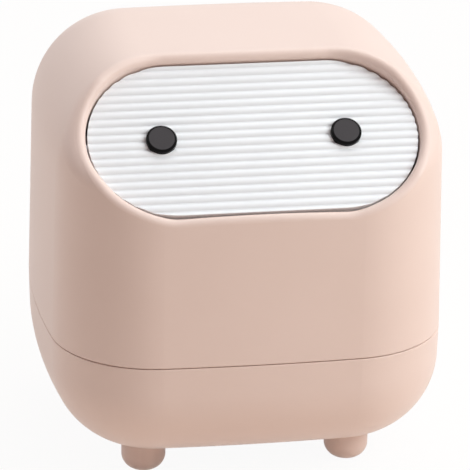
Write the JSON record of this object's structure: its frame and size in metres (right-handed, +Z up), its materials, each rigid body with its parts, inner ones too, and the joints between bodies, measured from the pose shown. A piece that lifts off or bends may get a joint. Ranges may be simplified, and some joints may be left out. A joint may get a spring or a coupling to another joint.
{
  "type": "desktop trash can",
  "caption": "Small rounded-cube bin on pegs, with a lift-off cover and a reeded swing flap in its slanted opening.",
  "frame": {"origin": "on the desk surface, under the middle of the rounded cube", "axes": "+Z up, the slanted flap faces -Y, +X to the right seen from the front"},
  "size_m": [0.14, 0.134, 0.1457],
  "materials": {
    "pink_plastic": "fine matte moulded blush pink",
    "white_plastic": "satin moulded white",
    "black_plastic": "satin moulded black",
    "steel": "drawn bright steel"
  },
  "bodies": {
    "base": {"base_bowl": "pink_plastic", "foot_front_left": "pink_plastic", "foot_front_right": "pink_plastic", "foot_rear_left": "pink_plastic", "foot_rear_right": "pink_plastic"},
    "cover": {"upper_shell": "pink_plastic"},
    "flap": {"flap_panel": "white_plastic", "eye_left": "black_plastic", "eye_right": "black_plastic", "pivot_pin_left": "steel", "pivot_pin_right": "steel", "ballast_rod": "steel"}
  },
  "joints": [
    {"name": "cover_lift", "type": "slide", "parent": "base", "child": "cover", "axis": [0, 0, 1], "range_m": [0, 0.08]},
    {"name": "flap_swing", "type": "hinge", "parent": "cover", "child": "flap", "pos_m": [0, -0.03792, 0.12051], "axis": [-1, 0, 0], "range_deg": [0, 75]}
  ]
}
